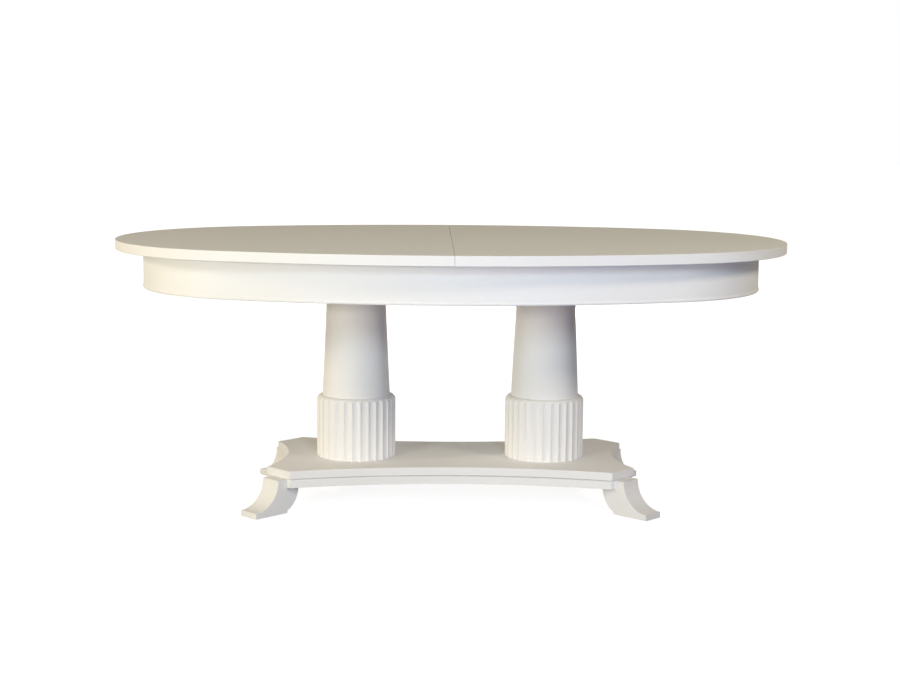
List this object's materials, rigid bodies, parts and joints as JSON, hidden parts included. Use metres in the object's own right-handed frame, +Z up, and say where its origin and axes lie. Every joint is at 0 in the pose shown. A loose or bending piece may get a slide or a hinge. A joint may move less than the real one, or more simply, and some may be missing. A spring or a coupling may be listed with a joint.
{
  "type": "double pedestal dining table",
  "caption": "Oval extension dining table on tapered columns with fluted drums, a hollow-sided plinth and sabre feet; the top slides open over a fixed apron.",
  "frame": {"origin": "point of the floor under the middle of the closed table", "axes": "+X along the length of the table, +Y to the back, +Z up"},
  "size_m": [1.9316, 1.158, 0.762],
  "materials": {
    "painted_wood": "satin off-white paint on sealed wood",
    "bearer_wood": "planed poplar, unfinished",
    "slide_wood": "sanded beech, waxed",
    "plated_steel": "zinc plated",
    "nylon": "natural nylon",
    "brass": "turned brass"
  },
  "bodies": {
    "base": {"plinth_upper_board": "painted_wood", "plinth_lower_board": "painted_wood", "foot_front_left": "painted_wood", "foot_front_right": "painted_wood", "foot_back_left": "painted_wood", "foot_back_right": "painted_wood", "fluted_drum_left": "painted_wood", "fluted_drum_right": "painted_wood", "column_shaft_left": "painted_wood", "column_shaft_right": "painted_wood", "apron_front": "painted_wood", "apron_back": "painted_wood", "apron_left_end": "painted_wood", "apron_right_end": "painted_wood", "apron_bead_front": "painted_wood", "apron_bead_back": "painted_wood", "apron_bead_left_end": "painted_wood", "apron_bead_right_end": "painted_wood", "cross_bearer_left": "bearer_wood", "cross_bearer_right": "bearer_wood", "spine_bearer": "bearer_wood", "apron_splice_blocks": "bearer_wood", "foot_dowels": "bearer_wood", "slide_bearer_front": "slide_wood", "slide_bearer_back": "slide_wood", "tie_rods": "plated_steel", "tie_rod_nuts": "plated_steel", "tie_rod_washers": "plated_steel", "pinion_brackets": "plated_steel", "floor_glides": "nylon", "apron_glides": "nylon"},
    "top_left": {"top_half_left": "painted_wood", "runner_left_outside": "slide_wood", "runner_left_inside": "slide_wood", "cleat_left_inner": "slide_wood", "cleat_left_middle": "slide_wood", "cleat_left_outer": "slide_wood", "stop_pegs_left": "slide_wood", "rack_left_outside": "plated_steel", "rack_left_inside": "plated_steel", "lock_plate_front": "plated_steel", "lock_keeper_back": "plated_steel", "seam_pins_left": "brass"},
    "top_right": {"top_half_right": "painted_wood", "runner_right_outside": "slide_wood", "runner_right_inside": "slide_wood", "cleat_right_inner": "slide_wood", "cleat_right_middle": "slide_wood", "cleat_right_outer": "slide_wood", "stop_pegs_right": "slide_wood", "rack_right_outside": "plated_steel", "rack_right_inside": "plated_steel", "lock_plate_back": "plated_steel", "lock_keeper_front": "plated_steel", "seam_pins_right": "brass"},
    "pinion_front": {"pinion_front": "nylon"},
    "lock_lever_front": {"lock_lever_front": "plated_steel"},
    "pinion_back": {"pinion_back": "nylon"},
    "lock_lever_back": {"lock_lever_back": "plated_steel"}
  },
  "joints": [
    {"name": "top_left_slide", "type": "slide", "parent": "base", "child": "top_left", "axis": [-1, 0, 0], "range_m": [0, 0.254]},
    {"name": "top_right_slide", "type": "slide", "parent": "base", "child": "top_right", "axis": [1, 0, 0], "range_m": [0, 0.254]},
    {"name": "pinion_front_spin", "type": "hinge", "parent": "base", "child": "pinion_front", "pos_m": [0, -0.19, 0.6595], "axis": [0, 0, -1], "range_deg": [0, 971]},
    {"name": "pinion_back_spin", "type": "hinge", "parent": "base", "child": "pinion_back", "pos_m": [0, 0.19, 0.6595], "axis": [0, 0, -1], "range_deg": [0, 971]},
    {"name": "lock_front_swing", "type": "hinge", "parent": "top_left", "child": "lock_lever_front", "pos_m": [-0.04, -0.33002, 0.728], "axis": [0, 0, 1], "range_deg": [0, 90]},
    {"name": "lock_back_swing", "type": "hinge", "parent": "top_right", "child": "lock_lever_back", "pos_m": [0.04, 0.33002, 0.728], "axis": [0, 0, 1], "range_deg": [0, 90]}
  ],
  "couplings": [
    {"joint": "top_right_slide", "follows": "top_left_slide", "ratio": 1},
    {"joint": "pinion_front_spin", "follows": "top_left_slide", "rad_per_m": 66.667},
    {"joint": "pinion_back_spin", "follows": "top_left_slide", "rad_per_m": 66.667}
  ]
}
